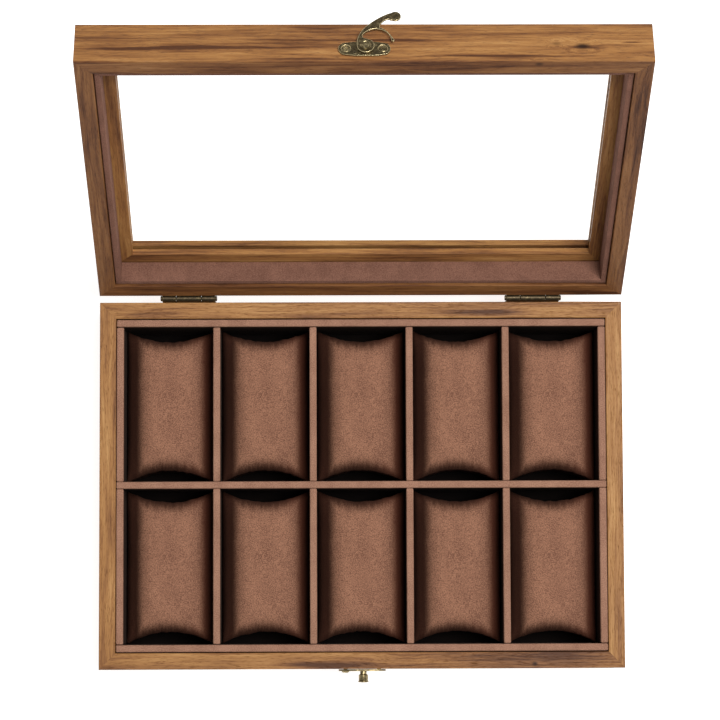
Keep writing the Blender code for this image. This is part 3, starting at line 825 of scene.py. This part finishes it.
def hook_outline():
    """Eye, arm, thumb tab and claw, about the pivot."""
    outer = [(-0.0043, 0.0008), (-0.0042, 0.0032), (-0.0034, 0.0064), (-0.0015, 0.0099)]
    outer += [(0.0014, 0.0134), (0.0048, 0.0164), (0.0085, 0.0190), (0.0117, 0.0207)]
    tab = arc((0.0150, 0.0190), 0.0029, 135, -125, 20)
    under_tab = smooth_run([(0.0129, 0.0162), (0.0116, 0.0171), (0.0095, 0.0161), (0.0074, 0.0138)])
    claw = [(0.0072, 0.0117), (0.0095, 0.0103), (0.0120, 0.0074), (0.0137, 0.0047), (0.0144, 0.0032)]
    inside = arc((0.0052, 0.0030), 0.0077, 0, 154, 28)
    claw_tip = [(0.0139, 0.0026)]
    arm_root = [(-0.0010, 0.0049)]
    eye = arc((0, 0), 0.0043, 75, -176, 30)
    return smooth_run(outer) + tab + under_tab + smooth_run(claw) + claw_tip + inside + arm_root + eye


def lobed_plate(low, high, holes):
    """A stamped strip with a round lobe at each end and countersunk holes at those places along it."""
    x = (low.x + high.x) / 2
    z = (low.z + high.z) / 2
    half = (high.x - low.x) / 2
    half_height = (high.z - low.z) / 2
    centre = half - PLATE_LOBE
    neck = math.degrees(math.asin(0.9))
    right = arc((x + centre, z), PLATE_LOBE, -neck, neck, 16)
    left = arc((x - centre, z), PLATE_LOBE, 180 - neck, 180 + neck, 16)
    step = centre - PLATE_LOBE
    top = [(x + step, z + half_height), (x - step, z + half_height)]
    bottom = [(x - step, z - half_height), (x + step, z - half_height)]
    blank = prism(right + top + left + bottom, "Y", FRONT_FACE - LEAF_TOP, FRONT_FACE - LEAF_FOOT)
    return drilled(blank, [countersink(hole, z, FRONT_FACE, -1, LEAF_TOP, HOLE_RIM) for hole in holes])


plate_low, plate_high = shut_box("latch_plate")
plate_z = (plate_low.z + plate_high.z) / 2
plate = lobed_plate(plate_low, plate_high, PLATE_SCREWS)
dome = [(0, -0.0004), (0.0009, -0.0004), (0.0009, 0.0), (0.0007, 0.00012), (0.0004, 0.00018), (0, 0.0002)]
pip = (pivot.x - 0.0053, pivot.z - 0.0036)
turned([(r, FRONT_FACE - LEAF_TOP - rise) for r, rise in dome], "Y", pip, segments=20, shape=plate)
add_metal("lobed_latch_plate", plate, flat_brass, "lid", "latch_plate", opened)
for number, x in enumerate(PLATE_SCREWS, 1):
    foot = LEAF_TOP - 0.0007
    brow = LEAF_TOP - 0.0001
    head = screw_head(x, plate_z, FRONT_FACE, -1, foot, brow, 0.0019, 0.3 * number)
    add_metal(f"latch_cross_screw_{number}", head, head_brass, "lid", f"latch_screw_{number}", opened, None)

outline = [(pivot.x + a, pivot.z + b) for a, b in hook_outline()]
shape = prism(outline, "Y", pivot.y - HOOK_THICK, pivot.y)
behind = pivot.y + HOOK_THICK / 2
ahead = pivot.y - HOOK_THICK * 1.5
hole = [(0, behind), (HOOK_HOLE, behind), (HOOK_HOLE, ahead), (0, ahead)]
shape = drilled(shape, [turned(hole, "Y", (pivot.x, pivot.z))])
add_metal("curved_swing_hook", shape, flat_brass, "hook", "swing_hook", opened, HOOK_EDGE)

rivet_foot = FRONT_FACE - (pivot.y - HOOK_THICK)
rivet = [(0, rivet_foot - 0.002), (0.0012, rivet_foot - 0.002), (0.0012, rivet_foot + 0.0001)]
rivet += [(0.0026, rivet_foot + 0.0001), (0.0027, rivet_foot + 0.0006), (0.0024, rivet_foot + 0.0010)]
rivet += [(0.0019, rivet_foot + 0.0011), (0.0016, rivet_foot + 0.0009), (0.0008, rivet_foot + 0.0010)]
rivet += [(0, rivet_foot + 0.0010)]
placed = [(r, FRONT_FACE - along) for r, along in rivet]
shape = turned(placed, "Y", (pivot.x, pivot.z))
add_metal("hook_domed_rivet", shape, head_brass, "lid", "hook_rivet", opened, None)

# Catch. A second lobed plate on the base's front carries the waisted post that the hook closes round. Its
# left screw stands a little proud; the right one is flush, because the hook passes over it.
plate_low, plate_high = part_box("catch_plate")
plate_z = (plate_low.z + plate_high.z) / 2
add_metal("lobed_catch_plate", lobed_plate(plate_low, plate_high, PLATE_SCREWS[1:]), flat_brass, "base",
          "catch_plate")
screw_rises = ((LEAF_TOP, LEAF_TOP + 0.0011), (LEAF_TOP - 0.0007, LEAF_TOP - 0.0001))
for number, (x, (foot, brow)) in enumerate(zip(PLATE_SCREWS, screw_rises), 1):
    head = screw_head(x, plate_z, FRONT_FACE, -1, foot, brow, 0.0021, 0.7 * number)
    node = f"catch_screw_{number}"
    add_metal(f"catch_cross_screw_{number}", head, head_brass, "base", node, edge=None)
post_low, post_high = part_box("catch_post")
post_middle = (post_low + post_high) / 2
post_out = FRONT_FACE - post_low.y
post = [(0, 0.0008), (0.0018, 0.0008), (0.0018, 0.0028), (0.0026, 0.0034), (0.0026, post_out - 0.0013)]
post += [(0.0025, post_out - 0.0011), (0.0029, post_out - 0.0008), (0.0029, post_out - 0.0004)]
post += [(0.0024, post_out - 0.0001), (0, post_out)]
placed = [(r, FRONT_FACE - along) for r, along in post]
shape = turned(placed, "Y", (post_middle.x, post_middle.z))
add_metal("catch_turned_post", shape, head_brass, "base", "catch_post", edge=None)

# Studio. The box stands on a pale floor that glows a little, under one large soft light from above and to
# the right and a faint white surround. The camera looks almost straight down.
floor_mesh = bpy.data.meshes.new("studio floor")
shape = bmesh.new()
bmesh.ops.create_grid(shape, x_segments=1, y_segments=1, size=6)
shape.to_mesh(floor_mesh)
shape.free()
floor = bpy.data.objects.new("studio_floor", floor_mesh)
floor.location.z = -0.0002
bpy.context.collection.objects.link(floor)
paper = Finish("pale floor", 0.9)
paper.shader.inputs["Base Color"].default_value = (0.8, 0.8, 0.8, 1)
paper.shader.inputs["Emission Color"].default_value = (1, 1, 1, 1)
paper.shader.inputs["Emission Strength"].default_value = 0.80
floor.data.materials.append(paper.material)

world = bpy.data.worlds.new("studio")
bpy.context.scene.world = world
world.use_nodes = True
world.node_tree.nodes["Background"].inputs["Color"].default_value = (1, 1, 1, 1)
world.node_tree.nodes["Background"].inputs["Strength"].default_value = 0.25

overhead = bpy.data.lights.new("overhead", "AREA")
overhead.shape = "SQUARE"
overhead.size = 1.0
overhead.energy = 57
lamp = bpy.data.objects.new("overhead", overhead)
lamp.location = (0.6, 0.3, 2.4)
lamp.rotation_euler = (-lamp.location).to_track_quat("-Z", "Y").to_euler()
bpy.context.collection.objects.link(lamp)

lens = bpy.data.cameras.new("camera")
lens.sensor_width = 36
lens.lens = 145.0
camera = bpy.data.objects.new("camera", lens)
camera.location = (-0.0204, -0.0670, BASE_HEIGHT + 1.6024)
camera.rotation_mode = "ZYX"
camera.rotation_euler = (0.0847, -0.0123, -0.0028)
lens.clip_start = 0.01
lens.clip_end = 50
bpy.context.collection.objects.link(camera)
bpy.context.scene.camera = camera
bpy.context.scene.view_settings.view_transform = "Standard"

bpy.context.view_layer.update()
